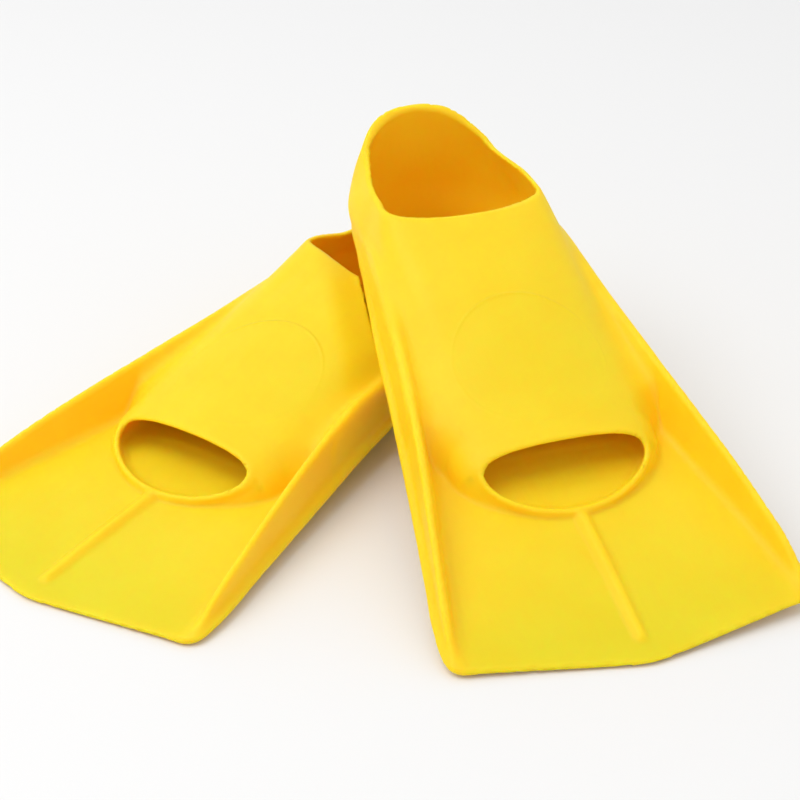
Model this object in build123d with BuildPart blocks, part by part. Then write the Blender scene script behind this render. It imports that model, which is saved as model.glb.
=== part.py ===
"""A pair of short training swim fins, one lying on the floor and one leaning across its heel.

Each fin is one silicone moulding. It is drawn here as the zones that do different work: the foot
pocket's sole, heel cup, walls, instep and toe rim, the side rails, the centre rib and the blade.
The zones meet face to face. The blade flexes just in front of the toe rim, so everything beyond
that line is a second body, cut to a knuckle round the flex axis.

Fin frame, in millimetres: X from the heel to the tip, Y to the fin's left, Z up from the floor
that the fin's sole stands on. The assembly's origin is on the floor, under the middle of the pair.
"""
import os
from math import cos, radians, sin, tan

from build123d import *

# ---- fin: overall ----
TIP_X = 370.0            # point of the shallow V at the blade's end, from the heel
CORNER_X = 351.0         # the blade's outer corners
END_X = 374.0            # just past the tip, where the blade's sections end before the V is cut

# ---- fin: side rails and blade, as (x, value) ----
FLANGE_Y = [(40, 41), (60, 53), (120, 64.5), (180, 71), (240, 79.5), (300, 89), (330, 94), (END_X, 94)]
PLATE_Z = [(40, 32), (60, 29.5), (120, 23.5), (180, 17), (240, 11.5), (300, 7.2), (330, 4.8),
           (352, 2.7), (END_X, 1.7)]
PLATE_T = [(40, 4.2), (300, 4.0), (352, 2.4), (END_X, 2.4)]
CREST_Y = [(40, 38), (60, 49), (120, 56.5), (180, 63.5), (240, 73), (300, 84), (330, 89), (END_X, 89)]
CREST_Z = [(40, 52), (60, 57), (120, 51.5), (180, 45), (240, 37), (300, 24.5), (330, 15.5),
           (352, 4.6), (END_X, 3.6)]
FOOT_Y = [(40, 30), (120, 44), (180, 52), (215, 54), (240, 65.5), (300, 78), (330, 85), (END_X, 86)]
VALLEY_Z = [(40, 46), (120, 43), (180, 38), (215, 31), (240, 0), (END_X, 0)]   # foot, where it is raised
RAIL_STATIONS = [40, 60, 120, 180, 215, 240, 300, 330, 352, END_X]
WEB_STATIONS = [215, 240, 300, 330, 352, END_X]
LIP = 4.0                # flange that stands out beyond the rail's outer face
CREST = 3.8              # width of the rail's crest

# ---- fin: foot pocket ----
WALL = 3.2
SOLE = 6.0
HEEL_END, SIDE_MID, SIDE_END = (34.0, 48.5), (115.0, 56.0), (225.0, 57.6)
TOE_MID, TOE_END, POCKET_X = (249.0, 53.2), (268.0, 38.0), 279.0
LEAN_Z, CUP_TOP, LEAN = 42.0, 96.0, 13.0   # walls upright up to here, then leaning in by this much
ARCH_BACK, ARCH_FRONT, ARCH_Z = 85.0, 150.0, 7.0   # the sole's underside rises between these
INSTEP_X, INSTEP_Z = 98.0, 77.0    # a point on the instep's middle line
INSTEP_FALL = 15.9                 # slope of that line, degrees
INSTEP_CROWN = 119.0               # radius of the instep, across
SHOULDER = 18.0                    # radius between the instep and the walls
INSTEP_HALF = 57.0
INSTEP_DEPTH = 20.0                # the instep's part of the pocket's height
TOE_FACE_X, TOE_FACE_Z = 246.0, 36.0               # where the instep turns down to the toe opening
TOE_FALL = 37.5                    # slope of the toe face, degrees
RIM = [(-20, 91), (1, 89.5), (12, 81), (25, 73), (42, 69.5), (100, 72.5)]   # heel rim's height, (x, z)
RIM_FRONT_X, RIM_CORNER_X, RIM_CORNER_Y = 99.0, 90.0, 46.0
CUP_X = 83.0                       # heel cup behind, walls and instep in front
TOE_X = 226.0                      # walls and instep behind, toe rim in front
TOE_HOLE = (45.5, 15.5)            # half-width and half-height of the oval
TOE_HOLE_DROP = 17.0               # from the turn of the toe face to the oval's centre
TOE_LIP = 4.2                      # width of the raised lip round it
LIP_PROUD = 2.6

# ---- fin: centre rib ----
RIB_START, RIB_END = 268.0, 357.0
RIB_R = [(RIB_START, 4.0), (RIB_END, 3.3)]

# ---- flex axis of the blade, across the fin ----
HINGE_X, HINGE_Z = 298.0, 15.0
KNUCKLE_R = 11.6
KNUCKLE_GAP = 0.3

# ---- where the two fins lie: heel point, heading, nose-down tilt, and roll with the left side up ----
LEFT_HEEL, LEFT_YAW, LEFT_TILT, LEFT_ROLL = (53.4, 177.0, 0.0), -125.2, 0.0, 0.0
RIGHT_HEEL, RIGHT_YAW, RIGHT_TILT, RIGHT_ROLL = (33.2, 171.9, 63.8), -72.75, 9.95, 1.55
REST_GAP = 1.0                     # the left fin's cuff stays this far under the right fin

FAR = 420.0
TOP = 130.0


def along(table, x):
    """Value of an (x, value) table at x, in straight steps."""
    for (x0, v0), (x1, v1) in zip(table, table[1:]):
        if x <= x1:
            return v0 + (v1 - v0) * (x - x0) / (x1 - x0)
    return table[-1][1]


def side_view(points):
    """A solid right across the fin from an outline seen from its side, points as (x, z)."""
    with BuildPart() as solid:
        with BuildSketch(Plane.XZ):
            Polygon(*points, align=None)
        extrude(amount=FAR, both=True)
    return solid.part


def trimmed(piece, keep=None, cut=None):
    """The piece kept inside one form and cut clear of another."""
    with BuildPart() as solid:
        add(piece)
        if keep is not None:
            add(keep, mode=Mode.INTERSECT)
        if cut is not None:
            add(cut, mode=Mode.SUBTRACT)
    return solid.part


def sole_line(lift):
    """The pocket's underside, raised by lift, from behind the heel to past the tip."""
    rise = ARCH_Z + lift
    return [(-20, lift), (ARCH_BACK, lift), (ARCH_FRONT, rise), (FAR, rise)]


# ---- foot pocket ----
def pocket_plan(inset, height=0.0, lean=0.0):
    """The foot pocket seen from above, in arcs: heel, long side, toe corner, toe front and back."""
    heel, side_mid, side, toe_mid, toe = [
        (x, y - lean) for x, y in (HEEL_END, SIDE_MID, SIDE_END, TOE_MID, TOE_END)
    ]
    with BuildSketch(Plane.XY.offset(height)) as plan:
        with BuildLine():
            ThreePointArc((heel[0], -heel[1]), (0, 0), heel)
            flank = ThreePointArc(heel, side_mid, side)
            corner = ThreePointArc(side, toe_mid, toe)
            ThreePointArc(toe, (POCKET_X, 0), (toe[0], -toe[1]))
            mirror([flank, corner], about=Plane.XZ)
        make_face()
        if inset:
            offset(amount=-inset, mode=Mode.REPLACE)
    return plan.sketch


def toe_face_x(z, inset):
    """Where the toe face, drawn in by inset, stands at height z."""
    fall = radians(TOE_FALL)
    return TOE_FACE_X + (TOE_FACE_Z - z) / tan(fall) - inset / sin(fall)


def pocket_form(inset, lift):
    """The foot pocket as a full form, drawn in by inset all round and raised by lift below."""
    fall = radians(INSTEP_FALL)
    across = Plane((INSTEP_X, 0, INSTEP_Z), x_dir=(0, 1, 0), z_dir=(cos(fall), 0, -sin(fall)))
    half = INSTEP_HALF - inset
    side = -half * half / (2 * INSTEP_CROWN) - inset
    low = ARCH_Z + lift
    with BuildPart() as form:
        extrude(pocket_plan(inset), amount=LEAN_Z)
        loft([pocket_plan(inset, LEAN_Z), pocket_plan(inset, CUP_TOP, LEAN)], ruled=True)
        with BuildSketch(Plane.XZ):
            Polygon(
                *sole_line(lift)[:3],
                (toe_face_x(low, inset), low),
                (toe_face_x(TOP, inset), TOP),
                (-20, TOP),
                align=None,
            )
        extrude(amount=FAR, both=True, mode=Mode.INTERSECT)
        with BuildSketch(across):
            with BuildLine():
                ThreePointArc((-half, side), (0, -inset), (half, side))
                Polyline((half, side), (half, -TOP), (-half, -TOP), (-half, side))
            make_face()
            fillet(vertices().group_by(Axis.Y)[-1], SHOULDER - inset)
        extrude(amount=FAR, both=True, mode=Mode.INTERSECT)
    return form.part


def heel_opening():
    """Everything above the rim line, as far forward as the instep's curved edge."""
    with BuildPart() as opening:
        with BuildSketch():
            with BuildLine():
                corner = (RIM_CORNER_X, RIM_CORNER_Y)
                ThreePointArc((corner[0], -corner[1]), (RIM_FRONT_X, 0), corner)
                Polyline(
                    corner, (RIM_CORNER_X, FAR), (-20, FAR), (-20, -FAR), (RIM_CORNER_X, -FAR),
                    (corner[0], -corner[1]),
                )
            make_face()
        extrude(amount=FAR)
        add(side_view(RIM + [(RIM[-1][0], FAR), (RIM[0][0], FAR)]), mode=Mode.INTERSECT)
    return opening.part


def toe_oval(grow, back, front):
    """A bar through the toe opening, square to the toe face, oval in section."""
    fall = radians(TOE_FALL)
    centre = (TOE_FACE_X + TOE_HOLE_DROP * cos(fall), 0, TOE_FACE_Z - TOE_HOLE_DROP * sin(fall))
    face = Plane(centre, x_dir=(0, 1, 0), z_dir=(sin(fall), 0, cos(fall)))
    with BuildPart() as bar:
        with BuildSketch(face.offset(-back)):
            Ellipse(TOE_HOLE[0] + grow, TOE_HOLE[1] + grow)
        extrude(amount=back + front)
    return bar.part


# ---- rails, blade and rib ----
def rail_section(x):
    """The rail's outline at x: flange, outer face, crest, inner face and foot."""
    top = along(PLATE_Z, x) + along(PLATE_T, x) / 2
    low = top - along(PLATE_T, x)
    flange, crest, foot = along(FLANGE_Y, x), along(CREST_Y, x), along(FOOT_Y, x)
    peak = along(CREST_Z, x)
    return [
        (foot, low), (flange, low), (flange, top), (flange - LIP, top),
        (crest + CREST / 2, peak), (crest - CREST / 2, peak), (foot, max(top, along(VALLEY_Z, x))),
    ]


def rail():
    """One side rail with its flange, on the fin's left, from the heel cup to past the tip."""
    with BuildPart() as solid:
        for x in RAIL_STATIONS:
            with BuildSketch(Plane.YZ.offset(x)):
                Polygon(*rail_section(x), align=None)
        loft(ruled=True)
    return solid.part


def web():
    """The blade's flat plate between the rails' feet, with the strips beside the pocket's toe."""
    with BuildPart() as solid:
        for x in WEB_STATIONS:
            with BuildSketch(Plane.YZ.offset(x)):
                with Locations((0, along(PLATE_Z, x))):
                    Rectangle(2 * along(FOOT_Y, x), along(PLATE_T, x))
        loft(ruled=True)
    return solid.part


def rib():
    """The half-round rib along the blade's middle, as a full bar that the plate cuts."""
    with BuildPart() as solid:
        for x in (RIB_START, 300, RIB_END):
            with BuildSketch(Plane.YZ.offset(x)):
                with Locations((0, along(PLATE_Z, x) + along(PLATE_T, x) / 2)):
                    Circle(along(RIB_R, x))
        loft(ruled=True)
    return solid.part


def tip_outline():
    """The blade's plan: straight sides and a shallow V, right up through the fin's height."""
    with BuildPart() as solid:
        with BuildSketch():
            half = along(FLANGE_Y, CORNER_X)
            Polygon(
                (0, half + 20), (CORNER_X, half + 20), (CORNER_X, half), (TIP_X, 0),
                (CORNER_X, -half), (CORNER_X, -half - 20), (0, -half - 20), align=None,
            )
        extrude(amount=TOP)
    return solid.part


def beyond_flex(radius):
    """The blade's side of the flex line, bounded by a knuckle of this radius."""
    with BuildPart() as solid:
        with BuildSketch(Plane.XZ):
            with Locations((HINGE_X, HINGE_Z)):
                Circle(radius)
            with Locations((HINGE_X, 0)):
                Rectangle(FAR, FAR, align=(Align.MIN, Align.CENTER))
        extrude(amount=FAR, both=True)
    return solid.part


def instep_slab():
    """Everything higher than the line where the pocket's walls become its instep."""
    fall = tan(radians(INSTEP_FALL))
    base = INSTEP_Z - INSTEP_DEPTH + INSTEP_X * fall
    return side_view([(0, base), (FAR, base - FAR * fall), (FAR, FAR), (0, FAR)])


def fin_zones():
    """Every zone of one fin, by name, in the fin's own frame."""
    outer = pocket_form(0, 0)
    above_sole = side_view(sole_line(SOLE) + [(FAR, TOP), (-20, TOP)])
    shell = trimmed(outer, keep=above_sole, cut=pocket_form(WALL, SOLE))
    shell = trimmed(trimmed(shell, cut=heel_opening()), cut=toe_oval(0, 40, 40))
    lip = trimmed(toe_oval(TOE_LIP, 3, LIP_PROUD), keep=above_sole, cut=toe_oval(0, 40, 40))

    left_half = side_view([(CUP_X, 0), (TOE_X, 0), (TOE_X, TOP), (CUP_X, TOP)])
    slab = instep_slab()
    middle = trimmed(shell, keep=left_half)
    with BuildPart() as left_side:
        Box(FAR, FAR, FAR, align=(Align.MIN, Align.MIN, Align.MIN))
    walls = trimmed(middle, cut=slab)
    cup_zone = side_view([(-20, 0), (CUP_X, 0), (CUP_X, TOP), (-20, TOP)])
    toe_zone = side_view([(TOE_X, 0), (FAR, 0), (FAR, TOP), (TOE_X, TOP)])
    with BuildPart() as toe_rim:
        add(trimmed(shell, keep=toe_zone))
        add(lip)

    blade_form = trimmed(web(), keep=tip_outline())
    rail_form = trimmed(rail(), keep=tip_outline())
    plate_top = [(x, along(PLATE_Z, x) + along(PLATE_T, x) / 2) for x in WEB_STATIONS]
    rib_form = trimmed(rib(), keep=side_view(plate_top + [(END_X, TOP), (WEB_STATIONS[0], TOP)]))
    blade_side, pocket_side = beyond_flex(KNUCKLE_R), beyond_flex(KNUCKLE_R + KNUCKLE_GAP)
    with BuildPart() as toe_end:
        add(outer)
        add(toe_oval(TOE_LIP, 3, LIP_PROUD))
    root_rail = trimmed(trimmed(rail_form, cut=pocket_side), cut=outer)
    tip_rail = trimmed(rail_form, keep=blade_side)
    return {
        "sole": trimmed(outer, cut=above_sole),
        "heel_cup": trimmed(shell, keep=cup_zone),
        "wall_l": trimmed(walls, keep=left_side.part),
        "wall_r": trimmed(walls, cut=left_side.part),
        "instep": trimmed(middle, keep=slab),
        "toe_rim": toe_rim.part,
        "blade_root": trimmed(trimmed(blade_form, cut=pocket_side), cut=toe_end.part),
        "rail_l": root_rail,
        "rail_r": root_rail.mirror(Plane.XZ),
        "rib_root": trimmed(trimmed(rib_form, cut=pocket_side), cut=toe_end.part),
        "blade": trimmed(blade_form, keep=blade_side),
        "tip_rail_l": tip_rail,
        "tip_rail_r": tip_rail.mirror(Plane.XZ),
        "centre_rib": trimmed(rib_form, keep=blade_side),
    }


def fin_plane(heel, yaw, tilt, roll):
    """The fin's own frame as it lies: heading yaw degrees from +X, nose down by tilt, then rolled."""
    a, b, c = radians(yaw), radians(tilt), radians(roll)
    forward = (cos(a) * cos(b), sin(a) * cos(b), -sin(b))
    up = (
        cos(a) * sin(b) * cos(c) + sin(a) * sin(c),
        sin(a) * sin(b) * cos(c) - cos(a) * sin(c),
        cos(b) * cos(c),
    )
    return Plane(heel, x_dir=forward, z_dir=up)


def resting_space():
    """The room that a fin lying on top takes from the cuff under it, in the upper fin's frame."""
    lowest = [(x, z - REST_GAP) for x, z in sole_line(0)[:3]]
    with BuildPart() as space:
        extrude(pocket_plan(-REST_GAP), amount=FAR, both=True)
        add(side_view(lowest + [(FAR, ARCH_Z - REST_GAP), (FAR, FAR), (-20, FAR)]), mode=Mode.INTERSECT)
    under = [(x, along(PLATE_Z, x) - along(PLATE_T, x) / 2 - REST_GAP) for x in (40, 60, 120, 180, 240)]
    with BuildPart() as flank:
        with BuildSketch():
            edge = [(x, y + REST_GAP) for x, y in FLANGE_Y[:5]]
            Polygon(*edge, *[(x, -y) for x, y in reversed(edge)], align=None)
        extrude(amount=FAR)
        add(side_view(under + [(240, FAR), (40, FAR)]), mode=Mode.INTERSECT)
    return [space.part, flank.part]


def write(name, piece):
    """Label a piece and write it to its STEP file."""
    piece.label = name
    export_step(piece, f"parts/{name}.step")


os.makedirs("parts", exist_ok=True)
zones = fin_zones()
left_place = fin_plane(LEFT_HEEL, LEFT_YAW, LEFT_TILT, LEFT_ROLL).location
right_place = fin_plane(RIGHT_HEEL, RIGHT_YAW, RIGHT_TILT, RIGHT_ROLL).location
space_above = [form.moved(right_place) for form in resting_space()]
for zone, form in zones.items():
    left = form.moved(left_place)
    for space in space_above:
        left = trimmed(left, cut=space)
    write(f"left_{zone}", left)
    write(f"right_{zone}", form.moved(right_place))
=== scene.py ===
"""Looks for the pair of swim fins: each fin is one moulding, meshed from a smooth distance field.

The field works in millimetres in the fin's own frame: X from the heel to the tip, Y to the fin's
left, Z up from the floor that the sole stands on. The mesh is then laid where the CAD's fin lies.
"""
import math

import bpy
import numpy as np
from mathutils import Matrix, Vector


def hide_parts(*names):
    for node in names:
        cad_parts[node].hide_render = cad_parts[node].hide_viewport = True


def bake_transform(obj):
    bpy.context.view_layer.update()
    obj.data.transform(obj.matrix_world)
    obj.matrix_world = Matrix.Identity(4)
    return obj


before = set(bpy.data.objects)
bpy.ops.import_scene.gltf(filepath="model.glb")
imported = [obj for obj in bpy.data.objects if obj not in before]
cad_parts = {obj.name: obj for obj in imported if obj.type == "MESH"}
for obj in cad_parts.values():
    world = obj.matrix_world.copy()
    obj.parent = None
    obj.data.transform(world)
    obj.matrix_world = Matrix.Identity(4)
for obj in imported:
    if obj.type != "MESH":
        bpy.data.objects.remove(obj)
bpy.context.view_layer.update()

MM = 0.001

# ---- where the two fins lie, as in the CAD: heel point, heading, nose-down tilt and roll ----
PLACES = {
    "left": ((53.4, 177.0, 0.0), -125.2, 0.0, 0.0),
    "right": ((33.2, 171.9, 63.8), -72.75, 9.95, 1.55),
}
FIN_LOW, FIN_HIGH = (-6, -99, -4), (376, 99, 98)
VOXEL = 1.7

# ---- fin: blade and rails; a list holds (x, value) points along the fin ----
TIP_X, CORNER_X, CORNER_Y, CORNER_R = 370.0, 351.5, 93.0, 8.0
FLANGE_Y = [(40, 41), (60, 50.5), (80, 54.8), (120, 63), (180, 71), (240, 79.5), (300, 89),
            (325, 93.2), (340, 94.2), (352, 93.4)]
PLATE_Z = [(20, 34), (60, 30), (120, 23.5), (180, 17), (240, 11.2), (278, 8.6), (300, 7.2),
           (330, 4.8), (352, 2.7), (372, 1.7)]
PLATE_T = [(20, 3.6), (240, 4.2), (300, 3.6), (352, 2.5), (372, 2.3)]     # the blade's thickness
CREST_Y = [(40, 40), (60, 49), (120, 56.3), (180, 63.5), (240, 73), (300, 84), (330, 88.6), (352, 91)]
CREST_Z = [(40, 34), (64, 40), (80, 47.5), (92, 52), (106, 52.8), (120, 51.8), (180, 45.3),
           (240, 37.2), (300, 24.5), (330, 15.4), (350, 4.6), (360, 1.5)]
CREST_W, FOOT_SPREAD = 3.8, 0.16            # the rail's width at its crest, and its inner foot's slope
LIP = 3.4                                   # the flange stands out past the rail's foot
VALLEY_Z = [(40, 46), (100, 44), (138, 41.5), (163, 40), (186, 37.5), (205, 34), (218, 29.5),
            (228, 23), (238, 12), (252, -5)]   # bottom of the trough between the pocket and the rails
CREASE, CREASE_TOE = 8.0, 2.5               # fillet in the trough, and where it ends beside the toes

# ---- fin: foot pocket; widths are from the centreline to the outside ----
POCKET_W = [(0, 54), (50, 53.8), (80, 54.7), (120, 57), (160, 58.5), (200, 59.5), (232, 57.5), (279, 52)]
HEEL_X, HEEL_SQUASH, HEEL_BLUNT = 50.0, 1.08, 2.12
CUP_SHEAR, SHEAR_Z = 0.06, 35.0             # the cup leans to its right, per mm above this height
CUP_BULGE = 3.3                             # the cup's right side stands out under its rim
PINCH = [(20, 0), (39, 4.3), (59, 1.1), (80, 0.2), (115, 1.5), (150, 0)]    # the walls draw in at the rim
TUCK = [(0, 3), (20, 5), (45, 6.2), (65, 4.2), (90, 1.6), (120, 0)]         # and at the sole
TOE_X, TOE_SQUASH = 236.0, 1.24
TOP_Z = [(-5, 118), (50, 100), (76, 82), (90, 77.6), (99, 75.3), (130, 66.5), (170, 55.5), (210, 45),
         (235, 39), (248, 35), (262, 24), (276, 14), (285, 10)]
CROWN = [(60, 0.0), (90, 0.0024), (160, 0.003), (250, 0.0034)]              # how the top falls to its sides
SHOULDER = [(60, 6), (80, 7.5), (98, 10), (160, 20), (230, 19), (255, 13)]  # round between top and walls
WALL, SOLE, ARCH = 3.2, 5.5, 7.0
RIM_Z = [(-5, 91), (0, 90.4), (5, 87.6), (12, 81.4), (25, 72.8), (40, 70.4), (60, 71.1), (85, 72.2),
         (100, 72.5)]
RIM_SKEW = 2.5                              # at the back the rim is lower on its left, higher on its right
RIM_FRONT, RIM_BOW, RIM_CORNER, RIM_HALF = 99.5, 7.5, 9.0, 46.0
TOE_CENTRE, TOE_FALL, TOE_BOW = (259.8, 23.8), 35.0, 8.5
TOE_HALF = (43.0, 17.2)
LIP_TOP, LIP_FOOT = 1.0, 2.0

# ---- fin: centre rib, and the line on the instep ----
RIB = [(270, 3.8), (320, 3.4), (357, 3.1)]
RIB_START, RIB_END = 268.0, 357.5
RING_X, RING_R = 194.5, 40.5                # a faint round line moulded on the instep

# ---- how the lower fin's cuff gives under the upper fin, in the lower fin's frame ----
PRESS_EDGE, PRESS_REACH = 18.0, 90.0          # the upper fin covers y > -EDGE and x - y < REACH
PRESS_DIP, PRESS_FADE = 0.155, (60.0, 38.0)   # share the cuff sinks there, and how far off it fades
PRESS_FOOT = 6.0                              # nothing gives below this height
PRESS_PULL = 7.0                              # how far the front of the cuff's rim is drawn back
PRESS_SIDE, PRESS_GAP = 2.2, 1.0              # gaps beside and under the upper fin
GRID, GRID_X, GRID_Y = 1.5, (-20.0, 190.0), (-75.0, 95.0)     # where the room under it is sampled
PRESS_TOP = [(-5, 91), (5, 88), (15, 81), (30, 74), (45, 71), (80, 73), (92, 79), (99, 76), (130, 67),
             (150, 61.5)]


# ---- shape helpers ----
def curve(x, points):
    """Smooth curve through (x, value) points, held at its two ends."""
    px, pv = (np.array(c, float) for c in zip(*points))
    slope = np.gradient(pv, px)
    x = np.clip(x, px[0], px[-1])
    i = np.clip(np.searchsorted(px, x, side="right") - 1, 0, len(px) - 2)
    h = px[i + 1] - px[i]
    t = (x - px[i]) / h
    keep = (1 + 2 * t) * (1 - t) ** 2
    return (keep * pv[i] + (1 - keep) * pv[i + 1]
            + h * t * (1 - t) * ((1 - t) * slope[i] - t * slope[i + 1]))


def ramp(x, low, high):
    """0 below low, 1 above high, smooth between."""
    t = np.clip((x - low) / (high - low), 0, 1)
    return t * t * (3 - 2 * t)


def join(a, b, r):
    """Union of two distances with a fillet of about r."""
    h = np.clip(0.5 + 0.5 * (b - a) / r, 0, 1)
    return b + (a - b) * h - r * h * (1 - h)


def meet(a, b, r):
    """Intersection of two distances with a round of about r."""
    return -join(-a, -b, r)


# ---- the fin's field ----
def sole_z(x):
    """Height of the sole's underside: flat under the heel, then a low arch."""
    return ARCH * ramp(x, 85, 150)


def blade_plan(x, y):
    """Distance in plan to the flange's outline: curved sides and a shallow V at the tip."""
    side = (np.abs(y) - curve(x, FLANGE_Y)) * 0.985
    slope = (TIP_X - CORNER_X) / CORNER_Y
    tip = (x + slope * (np.sqrt(y * y + 9.0) - 3.0) - TIP_X) / math.hypot(1, slope)
    return meet(meet(side, tip, CORNER_R), 36 - x, 4.0)


def rails(x, ay, z, plate_z, plate_t, plan):
    """The side rail: outer face down to the flange, round crest, inner face down to the blade."""
    crest_y, crest_z = curve(x, CREST_Y), curve(x, CREST_Z)
    high = np.maximum(crest_z - plate_z, 1.0)
    foot_out = curve(x, FLANGE_Y) - LIP
    foot_in = crest_y - 0.9 * CREST_W - FOOT_SPREAD * high
    half = CREST_W / 2
    lean_out = (foot_out - crest_y - half) / high
    lean_in = (crest_y - half - foot_in) / high
    outer = (ay - crest_y - half - lean_out * (crest_z - z)) / np.sqrt(1 + lean_out ** 2)
    inner = (crest_y - half - lean_in * (crest_z - z) - ay) / np.sqrt(1 + lean_in ** 2)
    rail = meet(meet(outer, inner, 3.0), z - crest_z, 3.4)
    rail = meet(rail, plate_z - plate_t / 2 - 0.5 - z, 1.5)
    return meet(rail, plan + 3.0, 2.0)


def pocket(x, y, z):
    """Distances to the pocket's wall, top and underside, before they meet."""
    wide = curve(x, POCKET_W)
    lean = 0.006 * np.maximum(z - 42, 0) ** 2 * ramp(x, 190, 110) + 0.04 * np.maximum(z - 20, 0)
    lean = lean * (0.1 + 0.9 * ramp(x, 0, 32)) + 0.012 * np.maximum(14 - z, 0) ** 2
    lean = lean + curve(x, PINCH) * ramp(z, 38, 70) + curve(x, TUCK) * ramp(z, 36, 8)
    back = HEEL_SQUASH * np.maximum(HEEL_X - x, 0)
    front = TOE_SQUASH * np.maximum(x - TOE_X, 0)
    around = (back ** HEEL_BLUNT + np.abs(y) ** HEEL_BLUNT) ** (1 / HEEL_BLUNT)
    wall = np.hypot(around, front) - wide + lean
    steep = np.where(x > 248, 1.28, 1.05)
    top = (z - curve(x, TOP_Z) + curve(x, CROWN) * y * y) / steep
    return wall, top, sole_z(x) - z


def toe_frame(x, y, z):
    """Distances along and square to the toe opening's slanting face, which wraps round the toe."""
    fall = math.radians(TOE_FALL)
    dx, dz = x - TOE_CENTRE[0] + TOE_BOW * (y / TOE_HALF[0]) ** 2, z - TOE_CENTRE[1]
    return dx * math.cos(fall) - dz * math.sin(fall), dx * math.sin(fall) + dz * math.cos(fall)


def oval(u, v, a, b):
    """First-order distance to an ellipse."""
    f = np.sqrt((u / a) ** 2 + (v / b) ** 2) + 1e-6
    return f * (f - 1) / (np.sqrt((u / a ** 2) ** 2 + (v / b ** 2) ** 2) + 1e-6)


def cup_upright(x, y, z):
    """The y that a point has once the cup's lean and its bulge to the right are taken away."""
    y = y + CUP_SHEAR * np.maximum(z - SHEAR_Z, 0) * ramp(x, 70, 15)
    under_rim = 1 - 0.8 * ramp(z, 54, 78) * ramp(x, 8, 40)
    return y + CUP_BULGE * ramp(-y, 10, 35) * ramp(z, 36, 50) * ramp(x, 75, 35) * under_rim


def heel_opening(x, y, z):
    """All that is above the heel's rim and behind the opening's bowed front edge."""
    rim_z = curve(x, RIM_Z) - RIM_SKEW * np.tanh(y / 30) * ramp(x, 48, 20)
    rim_x = RIM_FRONT - RIM_BOW * (y / RIM_HALF) ** 2 - RIM_CORNER * (y / RIM_HALF) ** 8
    return meet(rim_z - z, x - rim_x, 7.0)


def fin(x, y, z):
    """Signed distance to one whole fin, negative inside."""
    y = cup_upright(x, y, z)
    ay = np.abs(y)
    plate_z, plate_t = curve(x, PLATE_Z), curve(x, PLATE_T)
    plan = blade_plan(x, y)
    plate = meet(np.abs(z - plate_z) - plate_t / 2, plan, 1.6)
    body = join(plate, rails(x, ay, z, plate_z, plate_t, plan), 5.0)

    across = x + (np.maximum(ay, 46) - 55) * ramp(x, 200, 225)
    bank = meet((z - curve(across, VALLEY_Z)) / 1.15, ay - curve(x, CREST_Y), 2.0)
    bank = meet(bank, np.maximum(plate_z - z, plan + 3), 1.0)
    crease = CREASE + (CREASE_TOE - CREASE) * ramp(across, 215, 232)
    body = join(body, bank, crease)

    wall, top, under = pocket(x, y, z)
    shoulder = curve(x, SHOULDER)
    body = join(body, meet(meet(wall, top, shoulder), under, 9.0), crease)

    down, out = toe_frame(x, y, z)
    lip = LIP_TOP + (LIP_FOOT - LIP_TOP) * ramp(down, -10, 8)
    ring = np.hypot(oval(y, down, TOE_HALF[0] + 1.7, TOE_HALF[1] + 1.7), out + 0.3) - lip
    body = join(body, ring, 3.0)

    rib_r = curve(x, RIB)
    rib_z = plate_z + plate_t / 2 - 0.6
    rib = meet(np.hypot(y, z - rib_z) - rib_r, np.maximum(RIB_START - x, x - RIB_END), 3.0)
    body = join(body, rib, 2.2)

    cavity = meet(meet(wall + WALL, top + WALL, shoulder - 2.0), under + SOLE, 7.0)
    toe_hole = meet(oval(y, down, *TOE_HALF), np.abs(out) - 30, 3.0)
    toe_hole = meet(toe_hole, under + SOLE - 0.2, 3.0)
    hollow = join(join(cavity, toe_hole, 3.0), heel_opening(x, y, z), 1.0)
    return meet(body, -hollow, 1.7)


def placing(side):
    """The matrix that lays a fin's own frame in the row frame, in metres."""
    heel, yaw, tilt, roll = PLACES[side]
    return (Matrix.Translation(Vector(heel) * MM) @ Matrix.Rotation(math.radians(yaw), 4, "Z")
            @ Matrix.Rotation(math.radians(tilt), 4, "Y") @ Matrix.Rotation(math.radians(roll), 4, "X"))


def natural_top(x, y):
    """Height of the lower fin's cuff, instep and rail before anything lies on them."""
    return curve(x, PRESS_TOP) - 0.0095 * np.maximum(y - 20, 0) ** 2 * ramp(x, 92, 108)


def underside():
    """Room for the lower fin over a grid of its points: its own top, or the upper fin's underside."""
    x, y, z = np.meshgrid(np.arange(*GRID_X, GRID), np.arange(*GRID_Y, GRID),
                          np.arange(38.0, 92.0, GRID / 2), indexing="ij")
    across = np.array(placing("right").inverted() @ placing("left"))
    points = np.stack([x, y, z], axis=-1) @ across[:3, :3].T + across[:3, 3] / MM
    covered = fin(*np.moveaxis(points, -1, 0)) < PRESS_SIDE
    free = natural_top(x[..., 0], y[..., 0]) + PRESS_GAP
    heights = np.minimum(np.where(covered, z, 200.0).min(axis=2), free)
    padded = np.pad(heights, 1, mode="edge")
    rows, columns = heights.shape
    return sum(padded[i:i + rows, j:j + columns] for i in range(3) for j in range(3)) / 9


ROOM = underside()


def room_at(x, y):
    """The room over (x, y), read between the grid's points."""
    u = np.clip((x - GRID_X[0]) / GRID, 0, ROOM.shape[0] - 1.001)
    v = np.clip((y - GRID_Y[0]) / GRID, 0, ROOM.shape[1] - 1.001)
    i, j = u.astype(int), v.astype(int)
    u, v = u - i, v - j
    return ((1 - u) * ((1 - v) * ROOM[i, j] + v * ROOM[i, j + 1])
            + u * ((1 - v) * ROOM[i + 1, j] + v * ROOM[i + 1, j + 1]))


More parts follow.
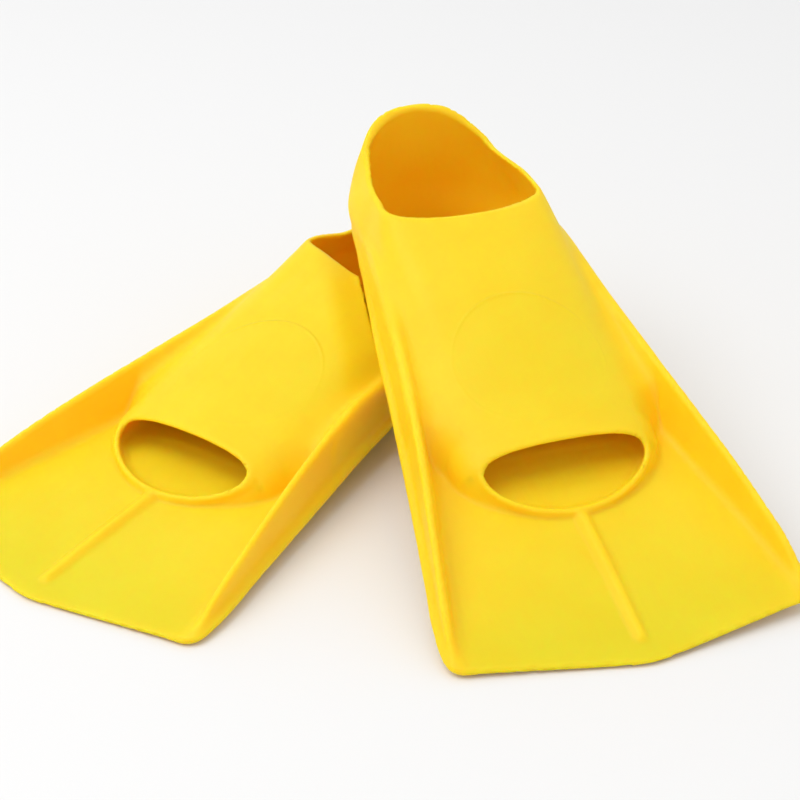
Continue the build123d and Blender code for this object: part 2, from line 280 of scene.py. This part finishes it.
def pressed_fin(x, y, z):
    """The fin whose cuff sinks where the other fin lies across it, and clears its underside."""
    full = natural_top(x, y)
    beside = np.maximum(-PRESS_EDGE - y, 0) / PRESS_FADE[0]
    beyond = np.maximum(x - y - PRESS_REACH, 0) / PRESS_FADE[1]
    dip = 1 - PRESS_DIP * ramp(np.hypot(beside, beyond), 1, 0)
    fits = (room_at(x, y) - PRESS_FOOT - PRESS_GAP) / (full - PRESS_FOOT)
    keep = np.clip(np.minimum(dip, fits), 0.4, 1)
    x = x + PRESS_PULL * ramp(y, -50, -12) * ramp(x, 60, 88) * ramp(x, 150, 108) * ramp(z, 40, 62)
    return fin(x, y, np.where(z > PRESS_FOOT, PRESS_FOOT + (z - PRESS_FOOT) / keep, z)) * (0.5 + 0.5 * keep)


# ---- meshing ----
def surface_net(field, low, high, step):
    """Quad mesh of the field's zero surface: one vertex in each grid cell that it crosses."""
    n = np.ceil((np.array(high) - low) / step).astype(int) + 1
    axes = [low[i] + step * np.arange(n[i]) for i in range(3)]
    gx, gy = np.meshgrid(axes[0], axes[1], indexing="ij")
    values = np.stack([field(gx, gy, np.full(gx.shape, h)) for h in axes[2]], axis=2)
    inside = values < 0
    corners = [(i, j, k) for i in (0, 1) for j in (0, 1) for k in (0, 1)]
    count = sum(inside[i:n[0] - 1 + i, j:n[1] - 1 + j, k:n[2] - 1 + k].astype(np.int8)
                for i, j, k in corners)
    cells = np.stack(np.nonzero((count > 0) & (count < 8)), axis=1)
    index = np.full(count.shape, -1)
    index[tuple(cells.T)] = np.arange(len(cells))
    total, hits = np.zeros((len(cells), 3)), np.zeros(len(cells))
    for corner in corners:
        for axis in range(3):
            if corner[axis]:
                continue
            far = list(corner)
            far[axis] = 1
            a = values[tuple((cells + corner).T)]
            b = values[tuple((cells + far).T)]
            cut = (a < 0) != (b < 0)
            point = np.tile(np.array(corner, float), (len(cells), 1))
            point[:, axis] = a / np.where(cut, a - b, 1)
            total[cut] += point[cut]
            hits += cut
    points = (total / hits[:, None] + cells) * step + low
    quads = []
    for axis in range(3):
        near, far = [slice(None)] * 3, [slice(None)] * 3
        near[axis], far[axis] = slice(0, -1), slice(1, None)
        a, b = inside[tuple(near)], inside[tuple(far)]
        edges = np.stack(np.nonzero(a != b), axis=1)
        u, v = (axis + 1) % 3, (axis + 2) % 3
        edges = edges[(edges[:, u] > 0) & (edges[:, v] > 0)
                      & (edges[:, u] < n[u] - 1) & (edges[:, v] < n[v] - 1)]

        def around(du, dv):
            cell = edges.copy()
            cell[:, u] -= du
            cell[:, v] -= dv
            return index[tuple(cell.T)]

        quad = np.stack([around(1, 1), around(0, 1), around(0, 0), around(1, 0)], axis=1)
        turned = ~a[tuple(edges.T)]
        quad[turned] = quad[turned][:, ::-1]
        quads.append(quad)
    return points, np.concatenate(quads)


def gradient(field, points, e=0.05):
    """The field's slope at each point."""
    step = e * np.eye(3)
    return np.stack([field(*(points + s).T) - field(*(points - s).T) for s in step], axis=1) / (2 * e)


def settle(field, points, rounds=3):
    """Move each point along the field's slope onto its zero surface."""
    for _ in range(rounds):
        slope = gradient(field, points)
        value = np.clip(field(*points.T), -1.2, 1.2)
        points = points - (value / np.maximum((slope ** 2).sum(1), 0.3))[:, None] * slope
    return points


def relax(field, points, quads, rounds=2):
    """Even out the quads by moving each point towards its neighbours, then back onto the surface."""
    edges = np.concatenate([quads[:, [i, (i + 1) % 4]] for i in range(4)])
    hits = np.bincount(edges[:, 0], minlength=len(points))
    for _ in range(rounds):
        total = np.zeros_like(points)
        for i in range(3):
            total[:, i] = np.bincount(edges[:, 0], points[edges[:, 1], i], len(points))
        points = points + 0.5 * (total / np.maximum(hits, 1)[:, None] - points)
        points = settle(field, points, 2)
    return points


def moulding(name, side, field):
    """One fin as a smooth mesh laid in the row frame."""
    points, quads = surface_net(field, FIN_LOW, FIN_HIGH, VOXEL)
    points = settle(field, points)
    points = relax(field, points, quads)
    place = np.array(placing(side))
    world = points * MM @ place[:3, :3].T + place[:3, 3]
    mesh = bpy.data.meshes.new(name)
    mesh.vertices.add(len(world))
    mesh.vertices.foreach_set("co", world.astype(np.float32).ravel())
    mesh.loops.add(quads.size)
    mesh.loops.foreach_set("vertex_index", quads.astype(np.int32).ravel())
    mesh.polygons.add(len(quads))
    mesh.polygons.foreach_set("loop_start", np.arange(0, quads.size, 4, dtype=np.int32))
    mesh.update(calc_edges=True)
    mesh.validate()
    mesh.polygons.foreach_set("use_smooth", np.ones(len(mesh.polygons), bool))
    own = mesh.attributes.new("fin", "FLOAT_VECTOR", "POINT")
    own.data.foreach_set("vector", (points * MM).astype(np.float32).ravel())
    piece = bpy.data.objects.new(name, mesh)
    bpy.context.scene.collection.objects.link(piece)
    return piece


# ---- material ----
class Nodes:
    """Small helper that adds shader nodes and links what it is given."""

    def __init__(self, material):
        material.use_nodes = True
        self.tree = material.node_tree
        self.shader = self.tree.nodes["Principled BSDF"]

    def add(self, kind, inputs, **settings):
        node = self.tree.nodes.new(kind)
        for name, value in settings.items():
            setattr(node, name, value)
        for key, value in inputs.items():
            self.feed(node.inputs[key], value)
        return node

    def feed(self, socket, value):
        if isinstance(value, bpy.types.NodeSocket):
            self.tree.links.new(value, socket)
        else:
            socket.default_value = value

    def math(self, operation, *values):
        return self.add("ShaderNodeMath", dict(enumerate(values)), operation=operation).outputs[0]

    def noise(self, where, scale, detail):
        inputs = {"Vector": where, "Scale": scale, "Detail": detail}
        return self.add("ShaderNodeTexNoise", inputs).outputs[0]

    def spread(self, value, low, high):
        """Value from 0..1 noise, spread between low and high."""
        inputs = {"Value": value, "From Min": 0.3, "From Max": 0.7, "To Min": low, "To Max": high}
        return self.add("ShaderNodeMapRange", inputs).outputs[0]


def silicone():
    """Satin silicone: light sinks a little way in; faint grain, flow marks and soft waviness."""
    material = bpy.data.materials.new("silicone")
    n = Nodes(material)
    where = n.add("ShaderNodeAttribute", {}, attribute_name="fin").outputs["Vector"]
    along = n.add("ShaderNodeMapping", {"Vector": where, "Scale": (0.12, 1.0, 0.5)}).outputs[0]
    soft, flow = n.noise(where, 35.0, 2.0), n.noise(along, 130.0, 3.0)
    grain = n.noise(where, 1500.0, 2.0)

    tint = n.add("ShaderNodeMix", {0: n.spread(soft, 0.0, 1.0), 6: (0.99, 0.60, 0.008, 1),
                                   7: (0.985, 0.63, 0.012, 1)}, data_type="RGBA").outputs[2]
    n.feed(n.shader.inputs["Base Color"], tint)
    n.feed(n.shader.inputs["Roughness"], n.spread(flow, 0.46, 0.56))
    n.feed(n.shader.inputs["Specular IOR Level"], 0.32)
    n.feed(n.shader.inputs["IOR"], 1.41)
    n.feed(n.shader.inputs["Subsurface Weight"], 0.85)
    n.feed(n.shader.inputs["Subsurface Radius"], (1.0, 0.36, 0.04))
    n.feed(n.shader.inputs["Subsurface Scale"], 0.01)

    place = n.add("ShaderNodeSeparateXYZ", {"Vector": where}).outputs
    run, side = n.math("SUBTRACT", place[0], RING_X * MM), place[1]
    reach = n.math("SQRT", n.math("ADD", n.math("MULTIPLY", run, run), n.math("MULTIPLY", side, side)))
    off = n.math("DIVIDE", n.math("SUBTRACT", reach, RING_R * MM), 0.9 * MM)
    line = n.math("EXPONENT", n.math("MULTIPLY", n.math("MULTIPLY", off, off), -1.0))
    rear = n.add("ShaderNodeMapRange", {"Value": run, "From Min": -0.018, "From Max": -0.036,
                                        "To Min": 0.07, "To Max": 0.34}).outputs[0]
    high = n.add("ShaderNodeMapRange", {"Value": place[2], "From Min": 0.025, "From Max": 0.03}).outputs[0]
    mark = n.math("MULTIPLY", n.math("MULTIPLY", line, rear), high)
    relief = n.math("ADD", mark, n.math("MULTIPLY", n.math("ADD", soft, flow), 0.22))
    relief = n.math("ADD", relief, n.math("MULTIPLY", grain, 0.035))
    bump = n.add("ShaderNodeBump", {"Strength": 1.0, "Distance": MM, "Height": relief}).outputs[0]
    n.feed(n.shader.inputs["Normal"], bump)
    return material


rubber = silicone()
for side, field in (("left", pressed_fin), ("right", fin)):
    piece = moulding(f"{side}_fin", side, field)
    piece.data.materials.append(rubber)
    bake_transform(piece)
    nodes = [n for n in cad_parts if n.startswith(side + "_")]
    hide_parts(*nodes)
    print("PIECE", side, len(piece.data.polygons))


# ---- floor, light and camera ----
def floor():
    """A plain pale floor, kept out of the part itself."""
    mesh = bpy.data.meshes.new("floor")
    mesh.from_pydata([(-4, -4, 0), (4, -4, 0), (4, 4, 0), (-4, 4, 0)], [], [(0, 1, 2, 3)])
    piece = bpy.data.objects.new("floor", mesh)
    material = bpy.data.materials.new("floor")
    material.use_nodes = True
    material.node_tree.nodes["Principled BSDF"].inputs["Base Color"].default_value = (0.8, 0.8, 0.8, 1)
    mesh.materials.append(material)
    bpy.context.scene.collection.objects.link(piece)


floor()

CAMERA_TARGET = Vector((23.9, 69.7, 0)) * MM
CAMERA_EL, CAMERA_DISTANCE = 30.11, 1.0319      # degrees above the floor, metres from the target
LENS, SENSOR = 79.3935, 36.0
camera = bpy.data.cameras.new("camera")
camera.lens, camera.sensor_width, camera.clip_start = LENS, SENSOR, 0.01
view = bpy.data.objects.new("camera", camera)
el = math.radians(CAMERA_EL)
view.location = CAMERA_TARGET + CAMERA_DISTANCE * Vector((0, -math.cos(el), math.sin(el)))
view.rotation_euler = (math.pi / 2 - el, 0, 0)
scene = bpy.context.scene
scene.collection.objects.link(view)
scene.camera = view
scene.view_settings.view_transform = "Standard"

world = bpy.data.worlds.new("studio")
world.use_nodes = True
world.node_tree.nodes["Background"].inputs["Color"].default_value = (1, 1, 1, 1)
world.node_tree.nodes["Background"].inputs["Strength"].default_value = 0.84
scene.world = world
lamp = bpy.data.lights.new("key", "AREA")
lamp.energy, lamp.size = 37, 2.2
key = bpy.data.objects.new("key", lamp)
key.location = (-1.2, -0.3, 2.4)
key.rotation_euler = Vector(key.location).to_track_quat("Z", "Y").to_euler()
scene.collection.objects.link(key)
